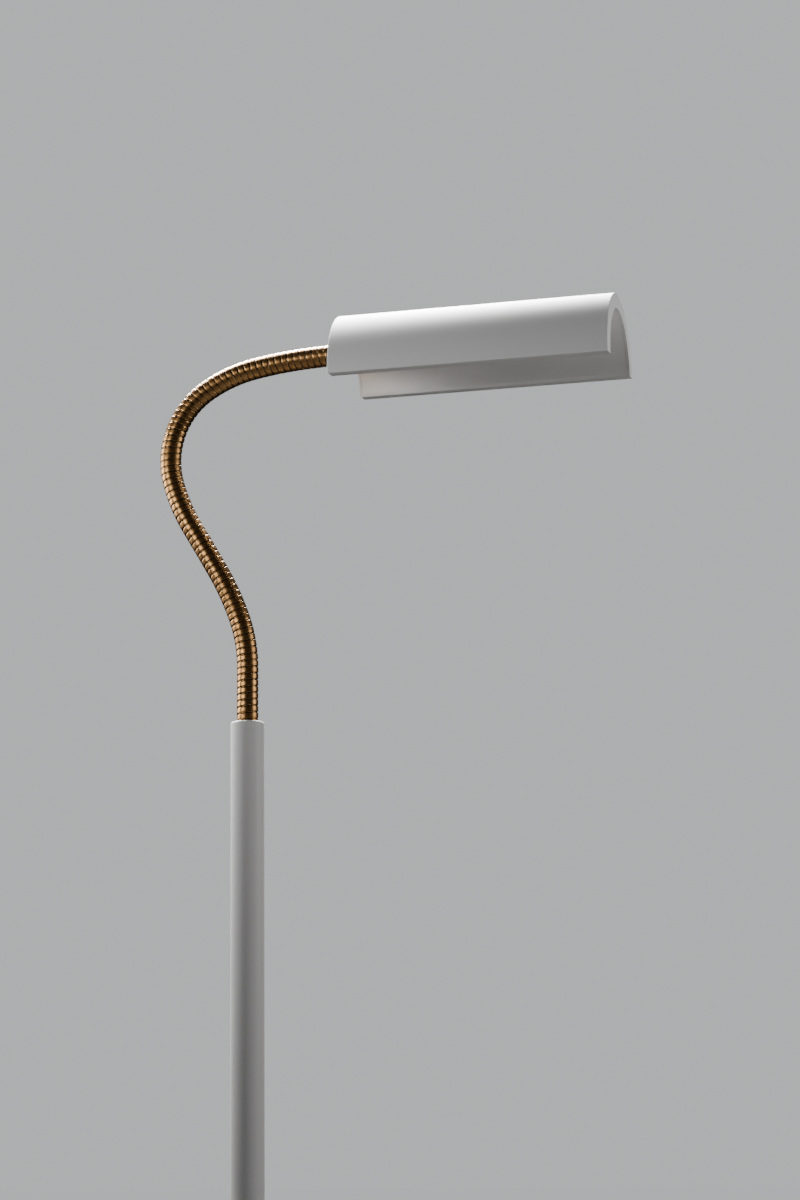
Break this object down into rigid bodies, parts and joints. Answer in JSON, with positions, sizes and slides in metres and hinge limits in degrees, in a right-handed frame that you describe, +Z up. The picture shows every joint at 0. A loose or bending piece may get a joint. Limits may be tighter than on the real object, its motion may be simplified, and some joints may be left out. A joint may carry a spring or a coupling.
{
  "type": "adjustable arm floor lamp",
  "caption": "Floor lamp with a round weighted base, a straight tube post, a wound flexible brass neck and a thick half-pipe shade open below.",
  "frame": {"origin": "centre of the base pad's underside, on the floor and on the post's axis", "axes": "+Z up along the post, +X towards the free end of the shade, the neck and the shade in the XZ plane"},
  "size_m": [0.4088, 0.24, 1.3354],
  "materials": {
    "base_paint": "matte powder coat, warm white",
    "post_paint": "matte powder coat, warm white",
    "shade_paint": "matte powder coat, white",
    "liner_paint": "matte powder coat, white",
    "cast_iron": "as cast, primed",
    "pad_rubber": "matte",
    "zinc_steel": "zinc plated",
    "dark_steel": "black oxide",
    "neck_metal": "aged satin brass",
    "ferrule_brass": "satin brass",
    "black_plastic": "fine grain",
    "driver_case": "fine grain",
    "wire_sheath": "smooth",
    "plain_aluminium": "satin extrusion",
    "board_white": "white solder mask",
    "led_phosphor": "yellow phosphor",
    "opal_lens": "opal, satin",
    "cap_plastic": "fine grain"
  },
  "bodies": {
    "stand": {"base_bottom_plate": "zinc_steel", "base_pad": "pad_rubber", "base_shell": "base_paint", "base_weight": "cast_iron", "base_wires": "wire_sheath", "cable_inlet_bush": "black_plastic", "ferrule_set_screw": "dark_steel", "led_driver": "driver_case", "neck_lower_ferrule": "ferrule_brass", "nipple_nut": "zinc_steel", "nipple_washer": "zinc_steel", "plate_screws": "zinc_steel", "post_lead": "wire_sheath", "post_plug": "zinc_steel", "post_tube": "post_paint", "threaded_nipple": "zinc_steel", "foot_switch_body": "black_plastic", "foot_switch_spring": "dark_steel", "neck_link_01": "neck_metal", "neck_lead_01": "wire_sheath"},
    "neck_02": {"neck_link_02": "neck_metal", "neck_lead_02": "wire_sheath"},
    "neck_03": {"neck_link_03": "neck_metal", "neck_lead_03": "wire_sheath"},
    "neck_04": {"neck_link_04": "neck_metal", "neck_lead_04": "wire_sheath"},
    "neck_05": {"neck_link_05": "neck_metal", "neck_lead_05": "wire_sheath"},
    "neck_06": {"neck_link_06": "neck_metal", "neck_lead_06": "wire_sheath"},
    "neck_07": {"neck_link_07": "neck_metal", "neck_lead_07": "wire_sheath"},
    "neck_08": {"neck_link_08": "neck_metal", "neck_lead_08": "wire_sheath"},
    "neck_09": {"neck_link_09": "neck_metal", "neck_lead_09": "wire_sheath"},
    "neck_end": {"neck_link_10": "neck_metal", "neck_lead_10": "wire_sheath", "neck_upper_ferrule": "ferrule_brass", "swivel_clip": "dark_steel"},
    "head": {"shade_outer_shell": "shade_paint", "shade_liner": "liner_paint", "crown_rail": "plain_aluminium", "neck_saddle": "plain_aluminium", "saddle_screws": "dark_steel", "swivel_grub_screw": "dark_steel", "heat_sink": "plain_aluminium", "heat_sink_screws": "dark_steel", "led_board": "board_white", "led_chips": "led_phosphor", "lens_cover": "opal_lens", "bar_cap_inner": "cap_plastic", "bar_cap_outer": "cap_plastic", "head_lead": "wire_sheath"},
    "foot_switch": {"foot_switch_button": "ferrule_brass"}
  },
  "joints": [
    {"name": "neck_bend_low_1", "type": "hinge", "parent": "stand", "child": "neck_02", "pos_m": [0.0001, 0, 1.0699], "axis": [0, 1, 0], "range_deg": [-15, 15]},
    {"name": "neck_side_1", "type": "hinge", "parent": "neck_02", "child": "neck_03", "pos_m": [-0.00648, 0, 1.10905], "axis": [0.9432, 0, 0.3322], "range_deg": [-12, 12]},
    {"name": "neck_bend_low_2", "type": "hinge", "parent": "neck_03", "child": "neck_04", "pos_m": [-0.02307, 0, 1.14528], "axis": [0, 1, 0], "range_deg": [-15, 15]},
    {"name": "neck_side_2", "type": "hinge", "parent": "neck_04", "child": "neck_05", "pos_m": [-0.04329, 0, 1.17968], "axis": [0.8563, 0, 0.5165], "range_deg": [-12, 12]},
    {"name": "neck_bend_low_3", "type": "hinge", "parent": "neck_05", "child": "neck_06", "pos_m": [-0.05883, 0, 1.21628], "axis": [0, 1, 0], "range_deg": [-15, 15]},
    {"name": "neck_side_3", "type": "hinge", "parent": "neck_06", "child": "neck_07", "pos_m": [-0.05684, 0, 1.2555], "axis": [0.9354, 0, -0.3535], "range_deg": [-12, 12]},
    {"name": "neck_bend_high_1", "type": "hinge", "parent": "neck_07", "child": "neck_08", "pos_m": [-0.03194, 0, 1.28576], "axis": [0, 1, 0], "range_deg": [-15, 15]},
    {"name": "neck_side_4", "type": "hinge", "parent": "neck_08", "child": "neck_09", "pos_m": [0.00506, 0, 1.30007], "axis": [0.1822, 0, -0.9833], "range_deg": [-12, 12]},
    {"name": "neck_bend_high_2", "type": "hinge", "parent": "neck_09", "child": "neck_end", "pos_m": [0.04463, 0, 1.30497], "axis": [0, 1, 0], "range_deg": [-15, 15]},
    {"name": "head_swivel", "type": "hinge", "parent": "neck_end", "child": "head", "pos_m": [0.0845, 0, 1.30632], "axis": [1, 0, 0.0052], "range_deg": [-60, 60]},
    {"name": "foot_switch_press", "type": "slide", "parent": "stand", "child": "foot_switch", "axis": [0, 0, -1], "range_m": [0, 0.003], "stiffness_N_per_m": 900, "springref_m": -0.002, "deforming": ["foot_switch_spring"]}
  ],
  "couplings": [
    {"joint": "neck_bend_low_2", "follows": "neck_bend_low_1", "ratio": 1},
    {"joint": "neck_bend_low_3", "follows": "neck_bend_low_1", "ratio": 1},
    {"joint": "neck_bend_high_2", "follows": "neck_bend_high_1", "ratio": 1},
    {"joint": "neck_side_2", "follows": "neck_side_1", "ratio": 1},
    {"joint": "neck_side_3", "follows": "neck_side_1", "ratio": 1},
    {"joint": "neck_side_4", "follows": "neck_side_1", "ratio": 1}
  ]
}
